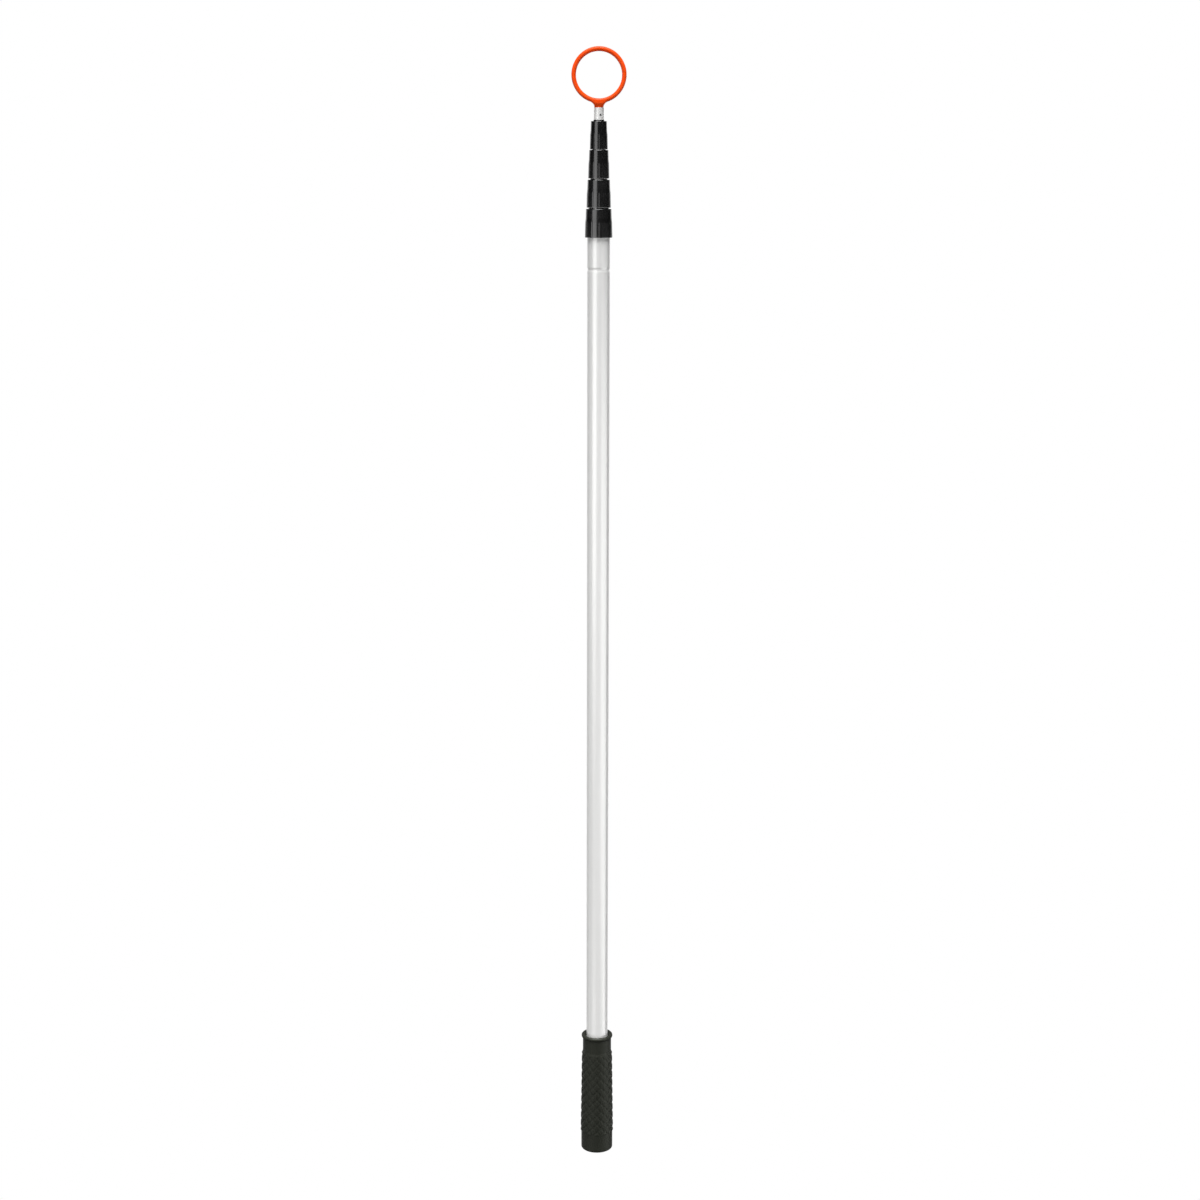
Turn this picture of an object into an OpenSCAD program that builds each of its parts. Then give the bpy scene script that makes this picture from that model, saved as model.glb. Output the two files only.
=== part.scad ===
// Telescopic ball retriever, closed: five nested aluminium tubes, each inner one held by a
// twist-operated eccentric lock, a ring head that snaps over a ball, and a rubber hand grip.
// Origin: centre of the butt's flat end. +Z runs along the pole to the ring. The ring's hole faces Y.

/* [Tubes] */
// Outside diameter of the largest tube, the one that carries the grip
base_tube_d = 21; // [20:0.5:23]
// Drop in outside diameter from each tube to the next one inside it
tube_step = 3; // [2.8:0.1:3.2]
// Wall thickness of every tube
tube_wall = 0.8; // [0.7:0.05:0.9]
// Length of the tip tube that shows above the last collar
tip_show = 12.2; // [9:0.1:30]
// Depth of the rolled groove that stops the next tube from pulling out
groove_depth = 0.45; // [0.35:0.05:0.5]
// Width of that groove along the tube
groove_width = 5; // [4:0.5:6]
// Distance from a collar's lower edge down to the middle of its tube's groove
groove_drop = 29.4; // [20:0.1:60]

/* [Collars] */
// Height of the lowest collar's lower edge above the butt
first_collar_z = 906.9; // [700:0.1:1000]
// Length of each collar, lowest first, from its lower edge to its shoulder
collar_length = [26, 25.3, 25.7, 25.4]; // [20:0.1:30]
// Bare tube between a collar's shoulder and the next collar, lowest first
collar_gap = [1.25, 1.15, 0.5]; // [0.5:0.05:4]
// Length of the smooth upper part of a collar, below its shoulder
collar_smooth = 8.4; // [7:0.1:10]
// Flutes around the lower part of each collar
flute_count = 12; // [8:1:16]

/* [Ring head] */
// Diameter of the ball that the ring picks up
ball_d = 42.67; // [40:0.01:45]
// How much smaller than the ball the ring's two lips are
lip_grip = 0.47; // [0.2:0.01:0.8]
// Radial thickness of the ring
ring_wall = 4.1; // [3.5:0.1:6]
// Depth of the ring along the ball's path
ring_depth = 11; // [9:0.5:16]
// Height of the ring's centre above the tip tube's end
ring_rise = 29.2; // [28.6:0.1:31]

/* [Grip] */
// Diameter of the smooth band at the butt
butt_d = 31.2; // [29:0.1:34]
// Height of the smooth band at the butt
band_h = 18; // [12:0.5:24]
// Height at which the textured part ends
texture_top_z = 102.6; // [80:0.1:110]
// Diameter of the smooth neck above the texture
neck_d = 28.1; // [26:0.1:30]
// Diameter of the rolled rim
rim_d = 30.7; // [29:0.1:33]
// Height of the middle of the rolled rim
rim_z = 120.2; // [115:0.1:130]

/* [Twist locks] */
// How far each lock's journal sits off the pole's axis
lock_offset = 0.6; // [0.4:0.05:0.7]
// Radial play between journal and cam, taken up when the pole is twisted
lock_play = 0.3; // [0.25:0.01:0.35]

/* [Hidden] */
$fn = 64;
SECTIONS = 5;
CUT = 1;                  // how far a cutting shape runs past the surface it cuts

// Tubes
function tube_r(n) = base_tube_d / 2 - (n - 1) * tube_step / 2;
function tube_bore_r(n) = tube_r(n) - tube_wall;

// Collars: heights of the lower edge and the shoulder on tube n, and of the neck above the shoulder
NECK_REST_GAP = 0.3;      // room between a collar's neck and the next collar
TOP_NECK_H = 1.2;         // height of the top collar's neck
GUIDE_LENGTH = 6.5;       // length of a collar's bore that guides the next tube
GUIDE_PLAY = 0.1;         // radial play of the next tube in that bore
NECK_WALL = 0.4;          // wall of the neck around the guide bore
FOOT_CHAMFER = 0.3;       // chamfer on a collar's lower edge
SHOULDER_RISE = 1.25;     // how far a collar stands off its tube, shoulder first, going down
WAIST_RISE = 1.5;
FLUTE_RISE = 1.95;
FOOT_RISE = 2.25;
STEP_H = 4;               // height of the slope between the smooth and the fluted part
FLUTE_R = 1.5;            // radius of the tool that cuts a flute
FLUTE_DEPTH = 0.4;
function collar_z(n) = n == 1 ? first_collar_z : shoulder_z(n - 1) + collar_gap[n - 2];
function shoulder_z(n) = collar_z(n) + collar_length[n - 1];
function neck_h(n) = n < SECTIONS - 1 ? collar_gap[n - 1] - NECK_REST_GAP : TOP_NECK_H;
function groove_z(n) = collar_z(n) - groove_drop;

// Butt end, from the bottom up
BUTT_FLOOR = 4;           // thickness of the grip's closed end
EDGE_ROUND = 2;           // rounding of the grip's lower edge
PLUG_FLANGE = 2.5;        // flange of the base plug, below the tube
PLUG_SHANK = 13.5;        // length of the base plug inside the tube
BUMPER_H = 4;             // thickness of the bumper on the plug
BUMPER_PLAY = 0.3;
base_tube_z = BUTT_FLOOR + PLUG_FLANGE;
bumper_z = base_tube_z + PLUG_SHANK;

// Twist locks, from the bottom up: end flange, journal with its cam, shoulder, shank in the tube
LOCK_FLANGE = 3;
LOCK_JOURNAL = 14.4;
LOCK_SHOULDER = 2;
LOCK_SHANK = 12;
CAM_PLAY = 0.2;           // radial play of the cam in the outer tube, and its end play
FLANGE_PLAY = 0.5;        // radial play of the end flange in the outer tube
CAM_THIN_WALL = 0.8;      // thinnest wall of the cam in the smallest tube
CAM_WALL_GROWTH = 0.15;   // added to that wall for each larger tube
CAM_SLOT = 1.2;           // width of the slot that lets the cam spread
LOCK_STACK_GAP = 0.6;     // room between one lock and the next one above it
REST_GAP = 0.3;           // room between the bumper and the first lock
lock_height = LOCK_FLANGE + LOCK_JOURNAL + LOCK_SHOULDER + LOCK_SHANK;
function lock_z(n) = bumper_z + BUMPER_H + REST_GAP + (n - 2) * (lock_height + LOCK_STACK_GAP);
function cam_r(n) = tube_bore_r(n - 1) - CAM_PLAY;
function cam_wall(n) = CAM_THIN_WALL + (SECTIONS - n) * CAM_WALL_GROWTH;
function journal_r(n) = cam_r(n) - cam_wall(n) - lock_offset - lock_play;
function tube_start_z(n) = n == 1 ? base_tube_z : lock_z(n) + lock_height - LOCK_SHANK;
function tube_end_z(n) = n < SECTIONS ? shoulder_z(n) - GUIDE_LENGTH : shoulder_z(n - 1) + tip_show;

// Ring head
lip_r = (ball_d - lip_grip) / 2;
SEAT_DEPTH = 0.7;         // depth of the groove between the lips, where the ball's widest part sits
SEAT_ROUND = 3.5;
STEM_R = 4.15;            // radius of the stem where it stands on the tip tube
STEM_STRAIGHT = 0.3;      // straight length of the stem before it flares
FLARE_R = 5.8;            // radius of the concave flare from the stem into the ring
SPIGOT = 16;              // length of the head's spigot inside the tip tube
FLARE_HALF_DEPTH = 4.2;   // half the depth of the flare along the ball's path
tip_z = tube_end_z(SECTIONS);
ring_z = tip_z + ring_rise;
RIVET_R = 0.8;
RIVET_DROP = 6.5;         // rivet's distance below the tip tube's end
RIVET_ANGLE = -72;        // direction that the rivet points, from +X
RIVET_HEAD_R = 0.95;
RIVET_HEAD_H = 0.25;

// Grip
SWELL_LOW_RISE = 0.5;     // how far the textured part stands off the band at its lower end
SWELL_TOP_RISE = 0.85;    // how far it stands off the neck at its upper end
SWELL_SLOPE = 2;
RIM_ROUND = 1.7;          // radius of the rolled rim

// Rubber sleeve with a closed, round-edged butt, a swelling textured part, a neck and a rolled rim
module grip() {
    color([0.16, 0.17, 0.15])
    rotate_extrude()
    difference() {
        union() {
            square([butt_d / 2 - EDGE_ROUND, band_h]);
            translate([0, EDGE_ROUND])
                square([butt_d / 2, band_h - EDGE_ROUND]);
            translate([butt_d / 2 - EDGE_ROUND, EDGE_ROUND])
                circle(r = EDGE_ROUND);
            grip_swell_outline();
            translate([0, rim_z - RIM_ROUND])
                square([rim_d / 2 - RIM_ROUND, 2 * RIM_ROUND]);
            translate([rim_d / 2 - RIM_ROUND, rim_z])
                circle(r = RIM_ROUND);
        }
        translate([-CUT, BUTT_FLOOR])
            square([CUT + tube_r(1), rim_z]);
    }
}

module grip_swell_outline() {
    low_r = butt_d / 2 + SWELL_LOW_RISE;
    top_r = neck_d / 2 + SWELL_TOP_RISE;
    polygon([
        [0, band_h - CUT],
        [butt_d / 2, band_h - CUT],
        [butt_d / 2, band_h],
        [low_r, band_h + SWELL_SLOPE],
        [top_r, texture_top_z - SWELL_SLOPE],
        [neck_d / 2, texture_top_z],
        [neck_d / 2, rim_z],
        [0, rim_z]
    ]);
}

// Plug that closes the largest tube's lower end
module base_plug() {
    color([0.1, 0.1, 0.1])
    translate([0, 0, BUTT_FLOOR]) {
        cylinder(r = tube_r(1), h = PLUG_FLANGE);
        cylinder(r = tube_bore_r(1), h = PLUG_FLANGE + PLUG_SHANK);
    }
}

// Soft disc that the nested tubes land on
module base_bumper() {
    color([0.25, 0.25, 0.25])
    translate([0, 0, bumper_z])
        cylinder(r = tube_bore_r(1) - BUMPER_PLAY, h = BUMPER_H);
}

// Tube n, counted from the grip. All but the tip tube have a rolled groove near the top.
module tube(n) {
    color([0.78, 0.78, 0.77])
    difference() {
        rotate_extrude()
            tube_outline(n);
        if (n == SECTIONS) rivet_hole();
    }
}

module tube_outline(n) {
    // A chord of the groove's circle, groove_width long and groove_depth deep
    groove_r = (pow(groove_width / 2, 2) + pow(groove_depth, 2)) / (2 * groove_depth);
    groove_centre_x = tube_r(n) + groove_r - groove_depth;
    difference() {
        union() {
            translate([tube_bore_r(n), tube_start_z(n)])
                square([tube_wall, tube_end_z(n) - tube_start_z(n)]);
            if (n < SECTIONS)
                intersection() {
                    translate([groove_centre_x, groove_z(n)])
                        circle(r = groove_r + tube_wall, $fn = 128);
                    translate([tube_bore_r(n) - tube_wall, groove_z(n) - groove_width])
                        square([2 * tube_wall, 2 * groove_width]);
                }
        }
        if (n < SECTIONS)
            translate([groove_centre_x, groove_z(n)])
                circle(r = groove_r, $fn = 128);
    }
}

// Collar n, fixed on the top of tube n. Its upper bore guides tube n + 1.
module collar(n) {
    r = tube_r(n);
    foot_z = collar_z(n);
    top_z = shoulder_z(n);
    waist_z = top_z - collar_smooth;
    guide_r = tube_r(n + 1) + GUIDE_PLAY;
    color([0.07, 0.07, 0.07])
    difference() {
        rotate_extrude()
            polygon([
                [r, foot_z],
                [r + FOOT_RISE - FOOT_CHAMFER, foot_z],
                [r + FOOT_RISE, foot_z + FOOT_CHAMFER],
                [r + FLUTE_RISE, waist_z - STEP_H],
                [r + WAIST_RISE, waist_z],
                [r + SHOULDER_RISE, top_z],
                [guide_r + NECK_WALL, top_z],
                [guide_r + NECK_WALL, top_z + neck_h(n)],
                [guide_r, top_z + neck_h(n)],
                [guide_r, tube_end_z(n)],
                [r, tube_end_z(n)]
            ]);
        for (i = [0:flute_count - 1])
            rotate([0, 0, i * 360 / flute_count])
                translate([r + FOOT_RISE + FLUTE_R - FLUTE_DEPTH, 0, foot_z - CUT])
                    cylinder(r = FLUTE_R, h = waist_z - STEP_H - foot_z + CUT, $fn = 32);
    }
}

// Plastic plug pressed in the lower end of tube n. Its journal is off-centre and carries the cam.
module lock_core(n) {
    color([0.85, 0.85, 0.8])
    translate([0, 0, lock_z(n)]) {
        cylinder(r = tube_bore_r(n - 1) - FLANGE_PLAY, h = LOCK_FLANGE);
        translate([lock_offset, 0, 0])
            cylinder(r = journal_r(n), h = LOCK_FLANGE + LOCK_JOURNAL + LOCK_SHOULDER / 2);
        translate([0, 0, LOCK_FLANGE + LOCK_JOURNAL])
            cylinder(r = tube_r(n), h = LOCK_SHOULDER);
        translate([0, 0, LOCK_FLANGE + LOCK_JOURNAL])
            cylinder(r = tube_bore_r(n), h = LOCK_SHOULDER + LOCK_SHANK);
    }
}

// Split ring on the journal of lock n. Twisting the tube drives it against the outer tube's wall.
module lock_cam(n) {
    color([0.3, 0.3, 0.32])
    translate([0, 0, lock_z(n) + LOCK_FLANGE + CAM_PLAY])
    difference() {
        cylinder(r = cam_r(n), h = LOCK_JOURNAL - 2 * CAM_PLAY);
        translate([lock_offset, 0, -CUT])
            cylinder(r = journal_r(n) + lock_play, h = LOCK_JOURNAL + 2 * CUT);
        translate([0, -CAM_SLOT / 2, -CUT])
            cube([cam_r(n) + CUT, CAM_SLOT, LOCK_JOURNAL + 2 * CUT]);
    }
}

// One-piece ring with two lips, a flared stem and a spigot that sits in the tip tube
module ring_head() {
    color([0.91, 0.31, 0.11])
    difference() {
        union() {
            around_ring_axis()
                rotate_extrude($fn = 128)
                    ring_section();
            difference() {
                stem();
                around_ring_axis()
                    cylinder(r = lip_r + ring_wall / 2, h = 2 * ring_depth, center = true, $fn = 128);
            }
        }
        rivet_hole();
    }
}

// Moves a shape made around +Z to the ring's centre, around the ball's path
module around_ring_axis() {
    translate([0, 0, ring_z])
        rotate([90, 0, 0])
            children();
}

// Rounded bar, hollowed on the inside between the two lips
module ring_section() {
    round_r = ring_wall / 2;
    round_y = ring_depth / 2 - round_r;
    difference() {
        union() {
            translate([lip_r, -round_y])
                square([ring_wall, 2 * round_y]);
            for (side = [-1, 1])
                translate([lip_r + round_r, side * round_y])
                    circle(r = round_r);
        }
        translate([lip_r + SEAT_DEPTH - SEAT_ROUND, 0])
            circle(r = SEAT_ROUND);
    }
}

module stem() {
    flare_z = tip_z + STEM_STRAIGHT;
    translate([0, 0, tip_z - SPIGOT])
        cylinder(r = tube_bore_r(SECTIONS), h = SPIGOT + CUT);
    intersection() {
        rotate_extrude()
            difference() {
                translate([0, tip_z])
                    square([STEM_R + FLARE_R, STEM_STRAIGHT + FLARE_R]);
                translate([STEM_R, tip_z - CUT])
                    square([FLARE_R + CUT, STEM_STRAIGHT + CUT]);
                translate([STEM_R + FLARE_R, flare_z])
                    circle(r = FLARE_R, $fn = 96);
            }
        translate([0, 0, flare_z])
            cube([4 * FLARE_R, 2 * FLARE_HALF_DEPTH, 4 * FLARE_R], center = true);
    }
}

module rivet_hole() {
    translate([0, 0, tip_z - RIVET_DROP])
        rotate([0, 90, RIVET_ANGLE])
            cylinder(r = RIVET_R, h = 4 * tube_r(SECTIONS), center = true, $fn = 32);
}

// Rivet through the tip tube and the head's spigot, headed on both sides
module head_rivet() {
    shank = 2 * tube_r(SECTIONS);
    color([0.25, 0.25, 0.26])
    translate([0, 0, tip_z - RIVET_DROP])
        rotate([0, 90, RIVET_ANGLE]) {
            cylinder(r = RIVET_R, h = shank, center = true, $fn = 32);
            for (side = [-1, 1])
                translate([0, 0, side * (shank + RIVET_HEAD_H) / 2])
                    cylinder(r = RIVET_HEAD_R, h = RIVET_HEAD_H, center = true, $fn = 32);
        }
}

grip();
base_plug();
base_bumper();
for (n = [1:SECTIONS])
    tube(n);
for (n = [1:SECTIONS - 1])
    collar(n);
for (n = [2:SECTIONS])
    lock_core(n);
for (n = [2:SECTIONS])
    lock_cam(n);
ring_head();
head_rivet();
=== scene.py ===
"""The looks of a telescopic ball retriever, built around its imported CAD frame.

Shapes are worked out in millimetres in the part's own frame: origin at the centre of the butt, +Z up the
pole, the ring facing -Y. MM turns them into metres when a mesh is made.
"""

import math

import bpy
import numpy as np
from mathutils import Matrix, Vector


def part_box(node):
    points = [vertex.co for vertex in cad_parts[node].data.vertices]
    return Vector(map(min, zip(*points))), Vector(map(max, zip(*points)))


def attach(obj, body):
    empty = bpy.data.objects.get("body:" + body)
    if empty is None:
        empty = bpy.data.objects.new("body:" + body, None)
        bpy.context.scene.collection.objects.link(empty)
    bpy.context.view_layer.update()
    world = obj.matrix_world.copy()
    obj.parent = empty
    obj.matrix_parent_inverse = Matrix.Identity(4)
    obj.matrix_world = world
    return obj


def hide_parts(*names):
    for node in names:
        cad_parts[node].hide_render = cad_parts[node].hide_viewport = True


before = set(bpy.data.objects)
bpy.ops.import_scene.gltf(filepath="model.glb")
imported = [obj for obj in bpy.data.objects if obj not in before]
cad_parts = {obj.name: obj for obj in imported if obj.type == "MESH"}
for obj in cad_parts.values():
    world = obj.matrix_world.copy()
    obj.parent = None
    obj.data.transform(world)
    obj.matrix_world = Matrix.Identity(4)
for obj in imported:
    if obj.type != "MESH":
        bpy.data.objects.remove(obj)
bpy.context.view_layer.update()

MM = 0.001
SECTIONS = 5


# ---------------------------------------------------------------- camera, light and floor

CAMERA_LENS = 65.4          # mm, on a 36 mm wide sensor
CAMERA_TILT = 11.65         # degrees below the horizon
CAMERA_ROLL = 0.13          # degrees
CAMERA_PLACE = Vector((0.0020, -2.0463, 0.9858))

SOFTBOX_DISTANCE = 2.2      # m, from the pole
LIGHT_TOP = 5.20            # m, above the pole at its full length
LIGHT_MIDDLE = 0.78         # where the key panel ends and the low ones begin
LIGHT_LOW = -0.75           # the floor stops no light, so the panels go on below it
LIGHT_BOTTOM = -1.40
STUDIO_LIGHT = 0.02         # strength of the faint even light from all around
FLOOR_HALF = 60             # m


def make_camera():
    data = bpy.data.cameras.new("camera")
    data.lens = CAMERA_LENS
    data.sensor_width = 36
    data.clip_start = 0.05
    data.clip_end = 200
    camera = bpy.data.objects.new("camera", data)
    bpy.context.scene.collection.objects.link(camera)
    tilt = Matrix.Rotation(math.radians(90 - CAMERA_TILT), 4, "X")
    roll = Matrix.Rotation(math.radians(CAMERA_ROLL), 4, "Z")
    camera.matrix_world = Matrix.Translation(CAMERA_PLACE) @ tilt @ roll
    bpy.context.scene.camera = camera


def softbox(name, azimuth, spread_angle, low, high, radiance):
    """An upright panel facing the pole, from one height to another.

    Azimuth is from the camera's side, positive to the right. Both angles are in degrees, and spread_angle
    is the panel's width as the pole sees it.
    """
    data = bpy.data.lights.new(name, "AREA")
    data.shape = "RECTANGLE"
    data.size = 2 * SOFTBOX_DISTANCE * math.tan(math.radians(spread_angle / 2))
    data.size_y = high - low
    data.energy = math.pi * radiance * data.size * data.size_y
    light = bpy.data.objects.new(name, data)
    bpy.context.scene.collection.objects.link(light)
    outward = Vector((math.sin(math.radians(azimuth)), -math.cos(math.radians(azimuth)), 0))
    light.location = outward * SOFTBOX_DISTANCE
    light.location.z = (low + high) / 2
    inward = Vector((-light.location.x, -light.location.y, 0))
    light.rotation_euler = inward.to_track_quat("-Z", "Y").to_euler()
    light.visible_camera = False


def overhead(strength):
    """Soft light from above, the same at every height, so it also suits the pole at full length."""
    data = bpy.data.lights.new("overhead", "SUN")
    data.energy = strength
    data.angle = math.radians(50)
    light = bpy.data.objects.new("overhead", data)
    bpy.context.scene.collection.objects.link(light)
    downward = Vector((0, 0.3, -1))
    light.rotation_euler = downward.to_track_quat("-Z", "Y").to_euler()


def make_lights():
    """Tall panels for the whole length of the pole, and low ones for its lower part and the grip."""
    softbox("key_left", -38.5, 38, LIGHT_MIDDLE, LIGHT_TOP, 1.15)
    softbox("rim_left", -148, 36, LIGHT_BOTTOM, LIGHT_TOP, 0.75)
    softbox("rim_right", 152, 34, LIGHT_BOTTOM, LIGHT_TOP, 0.85)
    softbox("side_left", -95, 36, LIGHT_BOTTOM, LIGHT_MIDDLE, 0.55)
    softbox("low_left", -40, 48, 0.00, LIGHT_MIDDLE, 2.0)
    softbox("lower_left", -40, 48, LIGHT_LOW, 0.00, 0.2)
    softbox("lowest_left", -40, 48, LIGHT_BOTTOM, LIGHT_LOW, 1.3)
    softbox("low_front", 5, 28, LIGHT_LOW, LIGHT_MIDDLE, 0.7)
    softbox("low_right", 64, 74, 0.00, 0.62, 1.7)
    softbox("lower_right", 64, 74, LIGHT_LOW, 0.00, 1.4)
    softbox("lowest_right", 84, 36, LIGHT_BOTTOM, LIGHT_LOW, 2.0)
    overhead(6.5)


def camera_sees(tree, seen_shader, other_shader):
    """One shader for the camera's own rays and another for light and reflections."""
    path = tree.nodes.new("ShaderNodeLightPath")
    mix = tree.nodes.new("ShaderNodeMixShader")
    tree.links.new(path.outputs["Is Camera Ray"], mix.inputs["Fac"])
    tree.links.new(other_shader.outputs[0], mix.inputs[1])
    tree.links.new(seen_shader.outputs[0], mix.inputs[2])
    return mix


def make_world():
    """White to the camera, and only a faint even light on the object."""
    world = bpy.data.worlds.new("studio")
    bpy.context.scene.world = world
    world.use_nodes = True
    tree = world.node_tree
    tree.nodes.clear()
    output = tree.nodes.new("ShaderNodeOutputWorld")
    studio = tree.nodes.new("ShaderNodeBackground")
    studio.inputs["Color"].default_value = (1, 1, 1, 1)
    studio.inputs["Strength"].default_value = STUDIO_LIGHT
    white = tree.nodes.new("ShaderNodeBackground")
    white.inputs["Color"].default_value = (1, 1, 1, 1)
    mix = camera_sees(tree, white, studio)
    tree.links.new(mix.outputs[0], output.inputs["Surface"])


def make_floor():
    """A wide white floor that only the camera sees, so the soft light also reaches the pole from below."""
    mesh = bpy.data.meshes.new("floor")
    corners = [(x * FLOOR_HALF, y * FLOOR_HALF, 0) for x, y in ((-1, -1), (1, -1), (1, 1), (-1, 1))]
    mesh.from_pydata(corners, [], [(0, 1, 2, 3)])
    floor = bpy.data.objects.new("floor", mesh)
    bpy.context.scene.collection.objects.link(floor)
    floor.visible_diffuse = False
    floor.visible_glossy = False
    floor.visible_transmission = False
    floor.visible_shadow = False
    material = bpy.data.materials.new("floor")
    material.use_nodes = True
    tree = material.node_tree
    tree.nodes.clear()
    output = tree.nodes.new("ShaderNodeOutputMaterial")
    glow = tree.nodes.new("ShaderNodeEmission")
    tree.links.new(glow.outputs[0], output.inputs["Surface"])
    mesh.materials.append(material)


# ---------------------------------------------------------------- materials

NOISE_LOW = 0.3             # nearly all of a noise texture's values lie between these two
NOISE_HIGH = 0.7


def new_material(name):
    material = bpy.data.materials.new(name)
    material.use_nodes = True
    return material, material.node_tree.nodes["Principled BSDF"]


def noise(material, scale, detail, stretch=(1, 1, 1)):
    """A noise texture in the object's own metres. Larger stretch means finer along that axis."""
    nodes, links = material.node_tree.nodes, material.node_tree.links
    place = nodes.new("ShaderNodeTexCoord")
    mapping = nodes.new("ShaderNodeMapping")
    mapping.inputs["Scale"].default_value = stretch
    texture = nodes.new("ShaderNodeTexNoise")
    texture.inputs["Scale"].default_value = scale
    texture.inputs["Detail"].default_value = detail
    links.new(place.outputs["Object"], mapping.inputs["Vector"])
    links.new(mapping.outputs["Vector"], texture.inputs["Vector"])
    return texture.outputs["Fac"]


def spread(material, value, low, high, socket):
    """Sends a noise's value into a socket, stretched to run from low to high."""
    nodes, links = material.node_tree.nodes, material.node_tree.links
    ramp = nodes.new("ShaderNodeMapRange")
    ramp.inputs["From Min"].default_value = NOISE_LOW
    ramp.inputs["From Max"].default_value = NOISE_HIGH
    ramp.inputs["To Min"].default_value = low
    ramp.inputs["To Max"].default_value = high
    links.new(value, ramp.inputs["Value"])
    links.new(ramp.outputs["Result"], socket)


def tint(material, value, dark, light, socket):
    """Sends a noise's value into a colour socket, from a dark to a light colour."""
    nodes, links = material.node_tree.nodes, material.node_tree.links
    ramp = nodes.new("ShaderNodeValToRGB")
    ramp.color_ramp.elements[0].position = NOISE_LOW
    ramp.color_ramp.elements[0].color = (*dark, 1)
    ramp.color_ramp.elements[1].position = NOISE_HIGH
    ramp.color_ramp.elements[1].color = (*light, 1)
    links.new(value, ramp.inputs["Fac"])
    links.new(ramp.outputs["Color"], socket)


def bump(material, shader, heights, distance):
    """Chains bumps, each (noise, strength), into the shader's normal. Distance is the relief in metres."""
    nodes, links = material.node_tree.nodes, material.node_tree.links
    last = None
    for value, strength in heights:
        node = nodes.new("ShaderNodeBump")
        node.inputs["Strength"].default_value = strength
        node.inputs["Distance"].default_value = distance
        links.new(value, node.inputs["Height"])
        if last:
            links.new(last.outputs["Normal"], node.inputs["Normal"])
        last = node
    links.new(last.outputs["Normal"], shader.inputs["Normal"])


def alloy_material():
    """Satin anodised aluminium, with fine drawing lines along the tube and faint larger patches."""
    material, shader = new_material("tube_alloy")
    shader.inputs["Metallic"].default_value = 0.3
    drawn = noise(material, 1.0, 3.0, (2600, 2600, 5))
    patches = noise(material, 6.0, 3.0, (1, 1, 0.25))
    tint(material, patches, (0.785, 0.785, 0.775), (0.82, 0.82, 0.81), shader.inputs["Base Color"])
    spread(material, drawn, 0.28, 0.34, shader.inputs["Roughness"])
    bump(material, shader, [(drawn, 0.2)], 0.00001)
    return material


def collar_material():
    """Glossy black plastic."""
    material, shader = new_material("collar_plastic")
    shader.inputs["Specular IOR Level"].default_value = 1.0
    shader.inputs["IOR"].default_value = 1.65
    haze = noise(material, 60.0, 5.0)
    grain = noise(material, 2200.0, 2.0)
    tint(material, haze, (0.0018, 0.0018, 0.0019), (0.0032, 0.0032, 0.0034), shader.inputs["Base Color"])
    spread(material, haze, 0.16, 0.22, shader.inputs["Roughness"])
    bump(material, shader, [(haze, 0.05), (grain, 0.08)], 0.00003)
    return material


def ring_material():
    """Half-gloss orange plastic, with faint flow marks from moulding."""
    material, shader = new_material("ring_plastic")
    shader.inputs["Specular IOR Level"].default_value = 0.16
    flow = noise(material, 70.0, 3.0)
    grain = noise(material, 1800.0, 2.0)
    tint(material, flow, (0.78, 0.060, 0.0020), (0.86, 0.074, 0.0032), shader.inputs["Base Color"])
    spread(material, flow, 0.32, 0.40, shader.inputs["Roughness"])
    bump(material, shader, [(flow, 0.04), (grain, 0.04)], 0.00003)
    return material


def rubber_material():
    """Matt black rubber with a fine grain, slightly olive where it shines."""
    material, shader = new_material("grip_rubber")
    shader.inputs["Specular Tint"].default_value = (0.95, 1.0, 0.86, 1)
    wear = noise(material, 45.0, 5.0)
    grain = noise(material, 1500.0, 3.0)
    tint(material, wear, (0.0034, 0.0038, 0.0022), (0.0052, 0.0057, 0.0036), shader.inputs["Base Color"])
    spread(material, wear, 0.50, 0.60, shader.inputs["Roughness"])
    bump(material, shader, [(wear, 0.15), (grain, 0.25)], 0.00005)
    return material


def moulded_material(name, color, roughness):
    """Plain moulded plastic, rubber or steel for the small and inner pieces."""
    material, shader = new_material(name)
    cloud = noise(material, 120.0, 4.0)
    dark = tuple(c * 0.88 for c in color)
    light = tuple(min(1, c * 1.08) for c in color)
    tint(material, cloud, dark, light, shader.inputs["Base Color"])
    spread(material, cloud, roughness - 0.06, roughness + 0.08, shader.inputs["Roughness"])
    bump(material, shader, [(noise(material, 1600.0, 2.0), 0.2)], 0.00005)
    return material


# ---------------------------------------------------------------- shapes

def rounded(corners, steps=6):
    """An outline through (r, z, fillet radius) corners, each filleted one drawn as an arc of steps pieces."""
    points = []
    for i, (r, z, fillet) in enumerate(corners):
        corner = np.array((r, z), float)
        if fillet == 0:
            points.append(tuple(corner))
            continue
        before = np.array(corners[i - 1][:2], float) - corner
        after = np.array(corners[(i + 1) % len(corners)][:2], float) - corner
        before /= np.linalg.norm(before)
        after /= np.linalg.norm(after)
        half = math.acos(float(np.clip(before @ after, -1, 1))) / 2
        centre = corner + (before + after) / np.linalg.norm(before + after) * fillet / math.sin(half)
        start = corner + before * fillet / math.tan(half) - centre
        end = corner + after * fillet / math.tan(half) - centre
        turn = math.pi - 2 * half
        for k in range(steps + 1):
            t = k / steps
            mixed = (math.sin((1 - t) * turn) * start + math.sin(t * turn) * end) / math.sin(turn)
            points.append(tuple(centre + mixed))
    return points


def smooth_step(share):
    """Rises from 0 to 1 as share does, level at both ends."""
    share = np.clip(share, 0, 1)
    return share * share * (3 - 2 * share)


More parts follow.
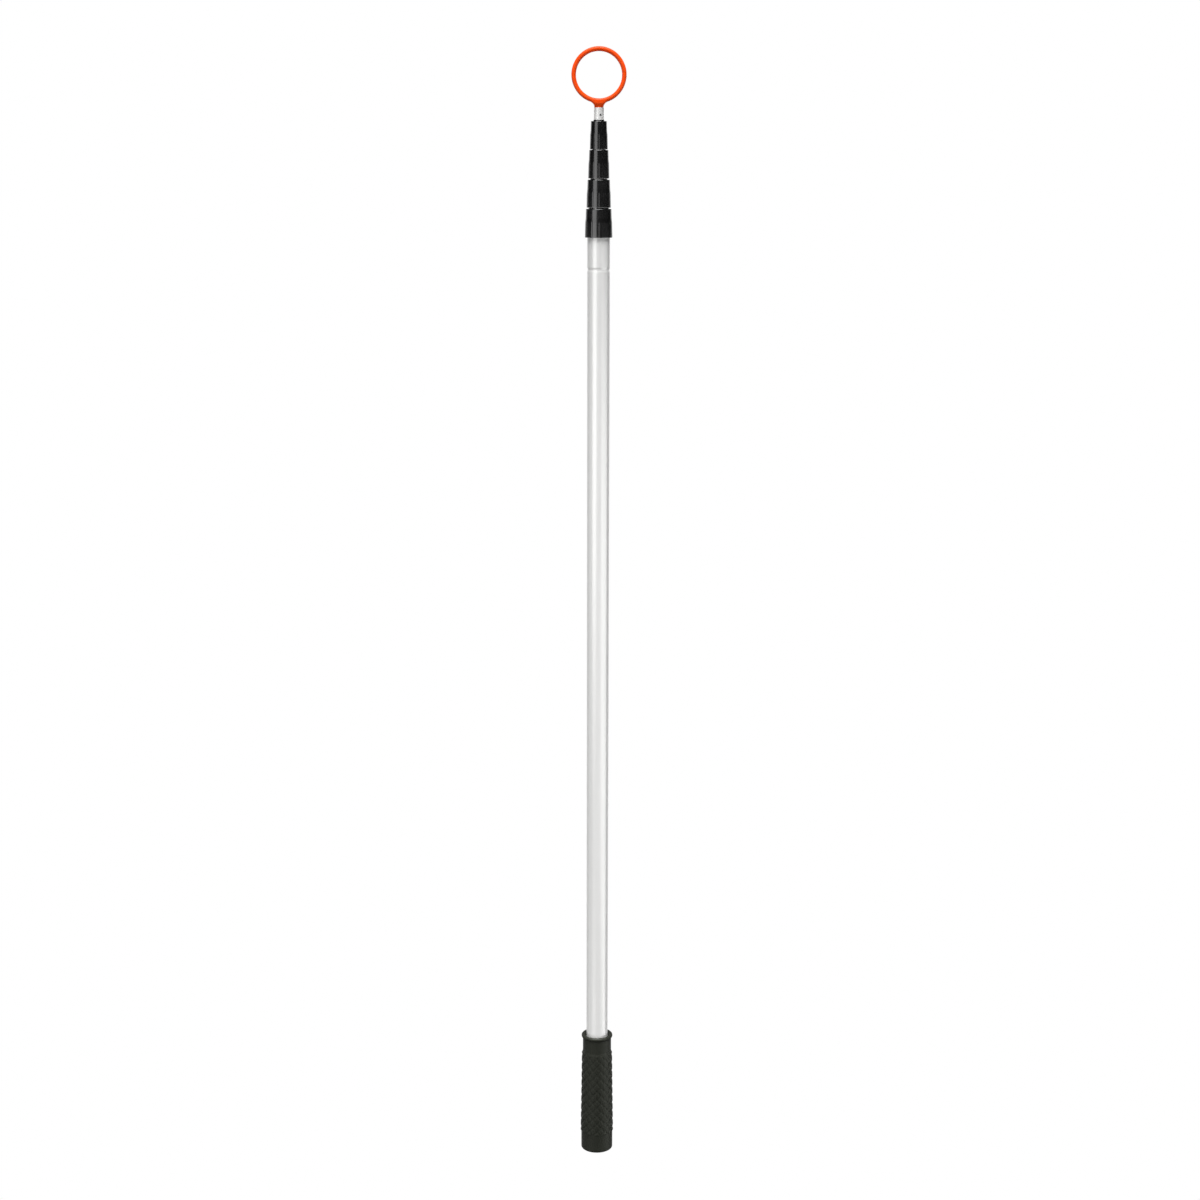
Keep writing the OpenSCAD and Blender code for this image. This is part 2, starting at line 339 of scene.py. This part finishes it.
def subdivided(points, longest):
    """The same outline with no stretch longer than longest."""
    fine = []
    for (r0, z0), (r1, z1) in zip(points, points[1:]):
        pieces = max(1, math.ceil(math.hypot(r1 - r0, z1 - z0) / longest))
        for k in range(pieces):
            t = k / pieces
            fine.append((r0 + (r1 - r0) * t, z0 + (z1 - z0) * t))
    fine.append(points[-1])
    return fine


def add_mesh(name, vertices, faces, material, body, node):
    """A piece that rides on a body and stands for one CAD node."""
    mesh = bpy.data.meshes.new(name)
    mesh.from_pydata((np.asarray(vertices) * MM).tolist(), [], faces)
    mesh.validate()
    mesh.polygons.foreach_set("use_smooth", [True] * len(mesh.polygons))
    mesh.materials.append(material)
    piece = bpy.data.objects.new(name, mesh)
    bpy.context.scene.collection.objects.link(piece)
    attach(piece, body)
    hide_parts(node)


def lathe(outline, segments, relief=None, closed=True):
    """Turns an outline of (r, z) points about Z. relief(angle, r, z) is added to each point's radius.

    A closed outline gives a ring. An open one has to start and end on the axis.
    """
    r, z = np.array(outline, float).T
    angle = np.arange(segments) * 2 * math.pi / segments
    radius = np.repeat(r[:, None], segments, axis=1)
    if relief:
        radius = radius + relief(angle[None, :], r[:, None], z[:, None])
    height = np.repeat(z[:, None], segments, axis=1)
    rings = np.stack([radius * np.cos(angle), radius * np.sin(angle), height], axis=2)
    count = len(r)
    faces = []
    if closed:
        vertices = rings.reshape(-1, 3)
        spans = [(i, (i + 1) % count) for i in range(count)]
    else:
        vertices = np.vstack([rings[0, :1], rings[1:-1].reshape(-1, 3), rings[-1, :1]])
        spans = [(i, i + 1) for i in range(count - 3)]
        last = len(vertices) - 1
        base = last - segments
        for j in range(segments):
            after = (j + 1) % segments
            faces.append((0, 1 + after, 1 + j))
            faces.append((last, base + j, base + after))
    shift = 0 if closed else 1
    for a, b in spans:
        for j in range(segments):
            after = (j + 1) % segments
            row_a, row_b = shift + a * segments, shift + b * segments
            faces.append((row_a + j, row_a + after, row_b + after, row_b + j))
    return vertices, faces


# ---------------------------------------------------------------- tubes

TUBE_WALL = 0.8
TUBE_EDGE = 0.18            # rounding of a tube's cut ends
TUBE_SEGMENTS = 128
TUBE_CELL = 25              # length of the mesh's cells along a tube
GROOVE_DEPTH = 0.45
GROOVE_WIDTH = 5
GROOVE_CELLS = 20           # cells across the groove
GROOVE_DROP = 29.4          # from a collar's foot down to the middle of its tube's groove


def section_body(n):
    return "base" if n == 1 else f"section_{n}"


def tube_radius(n):
    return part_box(f"tube_{n}")[1].x / MM


def groove_dip(z, middle):
    """How far the tube's wall dips at height z: a smooth rolled groove."""
    reach = (z - middle) / (GROOVE_WIDTH / 2)
    return np.where(np.abs(reach) < 1, GROOVE_DEPTH * (0.5 + 0.5 * np.cos(math.pi * reach)), 0)


def groove_heights(middle):
    return list(middle + np.linspace(-1, 1, GROOVE_CELLS + 1) * GROOVE_WIDTH / 2)


def make_tube(n, material):
    low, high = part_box(f"tube_{n}")
    z0, z1 = low.z / MM, high.z / MM
    r = tube_radius(n)
    inner = r - TUBE_WALL
    stops = []
    relief = None
    if n < SECTIONS:
        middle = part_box(f"collar_{n}")[0].z / MM - GROOVE_DROP
        stops = groove_heights(middle)

        def relief(angle, radius, z):
            return -groove_dip(z, middle)

    outer = [(r, z, 0) for z in stops]
    bore = [(inner, z, 0) for z in reversed(stops)]
    corners = [(r, z0, TUBE_EDGE), *outer, (r, z1, TUBE_EDGE)]
    corners += [(inner, z1, TUBE_EDGE), *bore, (inner, z0, TUBE_EDGE)]
    outline = rounded(corners, 4)
    outline = subdivided(outline + outline[:1], TUBE_CELL)[:-1]
    vertices, faces = lathe(outline, TUBE_SEGMENTS, relief)
    add_mesh(f"tube_{n}_drawn", vertices, faces, material, section_body(n), f"tube_{n}")


# ---------------------------------------------------------------- collars

SHOULDER_RISE = 1.25        # how far a collar stands off its tube, going down from the shoulder
WAIST_RISE = 1.5
FLUTE_RISE = 1.95
FOOT_RISE = 2.25
COLLAR_SMOOTH = 8.4         # length of the smooth part below the shoulder
COLLAR_SLOPE = 4            # length of the slope down to the fluted part
COLLAR_LENGTHS = (26, 25.3, 25.7, 25.4)
COLLAR_CELL = 0.9           # length of the mesh's cells along a collar
NECK_WALL = 0.4             # wall of the thin neck above the shoulder
GUIDE_PLAY = 0.1            # gap between the collar's bore and the tube that slides in it
GUIDE_LENGTH = 6.5          # length of that bore below the shoulder
FLUTES = 12
FLUTE_DEPTH = 0.14
FLUTE_SHARE = 0.09          # half of a flute's width, as a share of the distance between flutes
FLUTE_HOLLOW = 0.8          # below 1, a flute's floor is wider and its sides are steeper
FLUTE_END = 0.6             # how far up the slope a flute reaches, as a share of the slope's length
FLUTE_FADE = 0.8            # length over which its depth fades out, as a share of the slope's length
CELLS_PER_FLUTE = 40


def make_collar(n, material):
    low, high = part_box(f"collar_{n}")
    foot, neck_top = low.z / MM, high.z / MM
    shoulder = foot + COLLAR_LENGTHS[n - 1]
    waist = shoulder - COLLAR_SMOOTH
    step = waist - COLLAR_SLOPE
    r = tube_radius(n)
    guide = tube_radius(n + 1) + GUIDE_PLAY
    outline = rounded([
        (r, foot, 0.25),
        (r + FOOT_RISE, foot, 0.3),
        (r + FLUTE_RISE, step, 2.5),
        (r + WAIST_RISE, waist, 3),
        (r + SHOULDER_RISE, shoulder, 0.3),
        (guide + NECK_WALL, shoulder, 0.08),
        (guide + NECK_WALL, neck_top, 0.08),
        (guide, neck_top, 0.08),
        (guide, shoulder - GUIDE_LENGTH, 0),
        (r, shoulder - GUIDE_LENGTH, 0),
    ])
    outline = subdivided(outline + outline[:1], COLLAR_CELL)[:-1]

    def flutes(angle, radius, z):
        turn = angle * FLUTES / (2 * math.pi)
        across = np.abs(turn - np.round(turn)) / FLUTE_SHARE
        scoop = np.where(across < 1, 0.5 + 0.5 * np.cos(math.pi * across), 0) ** FLUTE_HOLLOW
        ending = smooth_step((step + COLLAR_SLOPE * FLUTE_END - z) / (COLLAR_SLOPE * FLUTE_FADE))
        outside = radius > r + FLUTE_RISE / 2
        return -FLUTE_DEPTH * scoop * ending * outside

    vertices, faces = lathe(outline, FLUTES * CELLS_PER_FLUTE, flutes)
    name = f"collar_{n}"
    add_mesh(f"{name}_fluted", vertices, faces, material, section_body(n), name)


# ---------------------------------------------------------------- grip

BUTT_FLOOR = 4              # thickness of the closed butt
BUTT_RADIUS = 15.6
BAND_TOP = 18               # top of the smooth band, where the texture starts
TEXTURE_TOP = 102.6
TEXTURE_TOP_RADIUS = 14.4
TEXTURE_FADE = 0.5          # height over which the texture fades in above the band
NECK_RADIUS = 14.05
RIM_RADIUS = 15.35
RIM_HEIGHT = 3.23
RIM_FLAT = 2.6              # from the rim's outer edge to the slope down to the tube
MOUTH_DROP = 1.9            # from the rim's top to where the grip meets the tube
LOZENGE_COLUMNS = 24
LOZENGE_PERIOD = 8.6        # height from one lozenge to the next in its column
LOZENGE_HALF_WIDTH = 2.75
LOZENGE_HALF_HEIGHT = 4.1
LOZENGE_POINTED = 1.6       # 1 gives a diamond, 2 a lens
LOZENGE_RELIEF = 0.7        # on the grip's left and right sides
LOZENGE_SLOPE = 0.6         # share of a lozenge, from its edge inwards, that rises to its flat top
LOZENGE_FRONT_SHARE = 0.3   # how much of that relief is left at the front and the back
CELLS_PER_COLUMN = 13
TEXTURE_CELL = 0.36         # height of the mesh's cells in the texture
GRIP_CELL = 1.5             # and elsewhere on the grip


def lozenges(angle, z):
    """Relief from 0 to 1 of raised lozenges in columns, every second column half a period higher."""
    pitch = 2 * math.pi / LOZENGE_COLUMNS
    middle_radius = (BUTT_RADIUS + TEXTURE_TOP_RADIUS) / 2
    relief = 0
    for odd in (0, 1):
        column = (angle / pitch - odd) / 2
        across = np.abs(column - np.round(column)) * 2 * pitch * middle_radius
        row = (z - BAND_TOP) / LOZENGE_PERIOD - 0.5 * odd
        along = np.abs(row - np.round(row)) * LOZENGE_PERIOD
        edge = across / LOZENGE_HALF_WIDTH + (along / LOZENGE_HALF_HEIGHT) ** LOZENGE_POINTED
        relief = np.maximum(relief, smooth_step((1 - edge) / LOZENGE_SLOPE))
    return relief


def make_grip(material):
    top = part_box("grip")[1].z / MM
    tube = tube_radius(1)
    below = rounded([(0, 0, 0), (BUTT_RADIUS, 0, 2.0), (BUTT_RADIUS, BAND_TOP, 0)], 10)
    above = rounded([
        (TEXTURE_TOP_RADIUS, TEXTURE_TOP, 0),
        (NECK_RADIUS, TEXTURE_TOP + 2.5, 2),
        (NECK_RADIUS, top - RIM_HEIGHT, 0.8),
        (RIM_RADIUS, top - RIM_HEIGHT, 1.2),
        (RIM_RADIUS, top, 1.5),
        (RIM_RADIUS - RIM_FLAT, top, 1.0),
        (tube + 1.0, top - 1.5, 0.4),
        (tube + 0.02, top - MOUTH_DROP, 0.15),
        (tube, BUTT_FLOOR, 0),
        (0, BUTT_FLOOR, 0),
    ], 8)
    texture = [below[-1], above[0]]
    outline = subdivided(below, GRIP_CELL)[:-1] + subdivided(texture, TEXTURE_CELL)[:-1]
    outline += subdivided(above, GRIP_CELL)

    def relief(angle, radius, z):
        fade_in = np.clip((z - BAND_TOP - 0.4) / TEXTURE_FADE, 0, 1)
        fade_out = np.clip((TEXTURE_TOP + 1 - z) / (3 * TEXTURE_FADE), 0, 1)
        share = LOZENGE_FRONT_SHARE + (1 - LOZENGE_FRONT_SHARE) * np.cos(angle) ** 4
        outside = radius > tube + 1
        return LOZENGE_RELIEF * share * lozenges(angle, z) * fade_in * fade_out * outside

    vertices, faces = lathe(outline, LOZENGE_COLUMNS * CELLS_PER_COLUMN, relief, closed=False)
    add_mesh("grip_moulded", vertices, faces, material, "base", "grip")


# ---------------------------------------------------------------- ring head

LIP_RADIUS = 21.1           # radius of the ring's opening at its two lips
LIP_BLEND = 0.35            # size of the rounding where a lip meets the seat
RING_WALL = 4.1             # seen from the front
RING_DEPTH = 11             # from front to back
SEAT_ROUND = 3.5            # radius of the ball's seat, seen in the ring's section
SEAT_DEPTH = 0.7
STEM_RADIUS = 4.15
STEM_STRAIGHT = 0.3         # height of the stem's straight part, below its flare
FLARE = 4.0                 # radius of the curve from the stem to the ring
SPIGOT_RADIUS = 3.7
SPIGOT_OVERLAP = 1          # how far the spigot runs up inside the stem
VOXEL = 0.3
SMOOTHING_ROUNDS = 12       # moved onto the surface and evened out, this many times
SETTLING_ROUNDS = 4         # then only moved onto it
SLOPE_STEP = 0.01           # over which the surface's slope is measured
LEAST_SLOPE = 0.2           # squared, so that no point is thrown far where the formula is nearly level
ROUGH_FLARE_SHARE = 0.6     # width of the rough stem's flare, as a share of the finished one's


def head_distance(p, ring_z, tip_z, spigot_z):
    """Roughly the distance from points to the head's surface, negative inside.

    The outline seen from the front is a disc and a bar, joined by the flare and cut by the ring's hole. It is
    given a rounded depth, deep at the ring and as deep as it is wide at the stem. The spigot is added and the
    ball's seat is cut out.
    """
    x, y, z = p.T
    across = np.hypot(x, z - ring_z)
    disc = across - LIP_RADIUS - RING_WALL
    bar = np.maximum(np.abs(x) - STEM_RADIUS, z - (ring_z - LIP_RADIUS - RING_WALL / 2))
    flared = FLARE - np.hypot(np.maximum(FLARE - disc, 0), np.maximum(FLARE - bar, 0))
    outline = np.where((disc < FLARE) & (bar < FLARE), flared, np.minimum(disc, bar))
    outline = np.maximum(outline, LIP_RADIUS - across)
    reach = smooth_step((z - tip_z - STEM_STRAIGHT) / FLARE)
    edge = STEM_RADIUS + (RING_WALL / 2 - STEM_RADIUS) * reach
    half_depth = STEM_RADIUS + (RING_DEPTH / 2 - STEM_RADIUS) * reach
    out_x = outline + edge
    out_y = np.abs(y) - (half_depth - edge)
    solid = np.minimum(np.maximum(out_x, out_y), 0)
    solid = solid + np.hypot(np.maximum(out_x, 0), np.maximum(out_y, 0)) - edge
    solid = np.maximum(solid, tip_z - z)
    spigot_ends = np.maximum(spigot_z - z, z - tip_z - SPIGOT_OVERLAP)
    spigot = np.maximum(np.hypot(x, y) - SPIGOT_RADIUS, spigot_ends)
    solid = np.minimum(solid, spigot)
    seat = SEAT_ROUND - np.hypot(across - (LIP_RADIUS + SEAT_DEPTH - SEAT_ROUND), y)
    mix = np.clip(0.5 + 0.5 * (solid - seat) / LIP_BLEND, 0, 1)
    return seat + (solid - seat) * mix + LIP_BLEND * mix * (1 - mix)


def rough_head(ring_z, tip_z, spigot_z):
    """A ring and a flared stem that overlap, to be merged into one skin."""
    centre = LIP_RADIUS + RING_WALL / 2
    section = [(centre + RING_WALL / 2 * math.cos(a), RING_DEPTH / 2 * math.sin(a))
               for a in np.linspace(0, 2 * math.pi, 33)[:-1]]
    vertices, faces = lathe(section, 160)
    vertices = vertices[:, [0, 2, 1]] * (1, -1, 1) + (0, 0, ring_z)
    stem = [(0, spigot_z), (SPIGOT_RADIUS, spigot_z), (SPIGOT_RADIUS, tip_z), (STEM_RADIUS, tip_z)]
    for a in np.linspace(0, math.pi / 2, 9):
        height = tip_z + STEM_STRAIGHT + FLARE * math.sin(a)
        stem.append((STEM_RADIUS + FLARE * (1 - math.cos(a)) * ROUGH_FLARE_SHARE, height))
    stem.append((0, stem[-1][1]))
    stem_vertices, stem_faces = lathe(stem, 64, closed=False)
    shift = len(vertices)
    faces += [tuple(i + shift for i in face) for face in stem_faces]
    return np.vstack([vertices, stem_vertices]), faces


def one_skin(vertices, faces):
    """Points and faces of the one closed skin around shapes that overlap."""
    mesh = bpy.data.meshes.new("rough")
    mesh.from_pydata(vertices.tolist(), [], faces)
    rough = bpy.data.objects.new("rough", mesh)
    bpy.context.scene.collection.objects.link(rough)
    remesh = rough.modifiers.new("skin", "REMESH")
    remesh.mode = "VOXEL"
    remesh.voxel_size = VOXEL
    graph = bpy.context.evaluated_depsgraph_get()
    skin = rough.evaluated_get(graph).to_mesh()
    points = np.zeros(len(skin.vertices) * 3)
    skin.vertices.foreach_get("co", points)
    skin_faces = [tuple(face.vertices) for face in skin.polygons]
    bpy.data.objects.remove(rough)
    return points.reshape(-1, 3), skin_faces


def onto_head(points, *heights):
    """Moves points onto the head's surface, along the steepest way."""
    distance = head_distance(points, *heights)
    slope = np.stack([
        (head_distance(points + step, *heights) - head_distance(points - step, *heights)) / (2 * SLOPE_STEP)
        for step in np.eye(3) * SLOPE_STEP
    ], axis=1)
    size = np.maximum((slope ** 2).sum(axis=1), LEAST_SLOPE)
    move = np.clip(distance / size, -VOXEL, VOXEL)
    return points - slope * move[:, None]


def relaxed(points, faces):
    """Moves each point halfway to the middle of its faces' corners."""
    quads = np.array([f if len(f) == 4 else (*f, f[-1]) for f in faces])
    middles = points[quads].mean(axis=1)
    total = np.zeros_like(points)
    count = np.zeros(len(points))
    for corner in range(4):
        np.add.at(total, quads[:, corner], middles)
        np.add.at(count, quads[:, corner], 1)
    return (points + total / np.maximum(count, 1)[:, None]) / 2


def make_head(material):
    low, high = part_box("ring_head")
    ring_z = high.z / MM - LIP_RADIUS - RING_WALL
    heights = (ring_z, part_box("tube_5")[1].z / MM, low.z / MM)
    points, faces = one_skin(*rough_head(*heights))
    for _ in range(SMOOTHING_ROUNDS):
        points = relaxed(onto_head(points, *heights), faces)
    for _ in range(SETTLING_ROUNDS):
        points = onto_head(points, *heights)
    add_mesh("ring_head_moulded", points, faces, material, "section_5", "ring_head")


# ---------------------------------------------------------------- rivet

RIVET_HALF_GRIP = 4.5       # from the tube's centre to the underside of each rivet head
RIVET_HEAD = 0.35           # how far each rivet head stands off the tube
RIVET_FLAT_SHARE = 0.8      # radius of a rivet head's flat top, as a share of its own radius
RIVET_SHANK_SHARE = 0.7
RIVET_AZIMUTH = -72         # degrees, from +X


def make_rivet(material):
    low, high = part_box("head_rivet")
    centre = (low + high) / 2 / MM
    radius = (high.z - low.z) / 2 / MM
    flat = radius * RIVET_FLAT_SHARE
    shank = radius * RIVET_SHANK_SHARE
    under = RIVET_HALF_GRIP
    end = RIVET_HALF_GRIP + RIVET_HEAD
    outline = rounded([
        (0, -end, 0),
        (flat, -end, 0.2),
        (radius, -under, 0.1),
        (shank, -under, 0),
        (shank, under, 0),
        (radius, under, 0.1),
        (flat, end, 0.2),
        (0, end, 0),
    ], 4)
    vertices, faces = lathe(outline, 40, closed=False)
    azimuth = math.radians(RIVET_AZIMUTH)
    direction = Vector((math.cos(azimuth), math.sin(azimuth), 0))
    turn = np.array(Vector((0, 0, 1)).rotation_difference(direction).to_matrix())
    vertices = vertices @ turn.T + np.array(centre)
    add_mesh("rivet_domed", vertices, faces, material, "section_5", "head_rivet")


# ---------------------------------------------------------------- inner pieces that keep their CAD shape

def paint(node, material):
    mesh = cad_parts[node].data
    mesh.materials.clear()
    mesh.materials.append(material)


def paint_inner_pieces():
    core = moulded_material("lock_plastic", (0.62, 0.60, 0.53), 0.45)
    cam = moulded_material("cam_plastic", (0.045, 0.045, 0.052), 0.42)
    plug = moulded_material("plug_plastic", (0.012, 0.012, 0.012), 0.5)
    bumper = moulded_material("bumper_rubber", (0.04, 0.04, 0.04), 0.8)
    for n in range(2, SECTIONS + 1):
        paint(f"lock_core_{n}", core)
        paint(f"lock_cam_{n}", cam)
    paint("base_plug", plug)
    paint("base_bumper", bumper)


# ---------------------------------------------------------------- the whole scene

make_camera()
make_world()
make_lights()
make_floor()
bpy.context.scene.view_settings.view_transform = "Standard"

alloy = alloy_material()
black_plastic = collar_material()
for n in range(1, SECTIONS + 1):
    make_tube(n, alloy)
for n in range(1, SECTIONS):
    make_collar(n, black_plastic)
make_grip(rubber_material())
make_head(ring_material())
make_rivet(moulded_material("rivet_steel", (0.05, 0.05, 0.052), 0.4))
paint_inner_pieces()
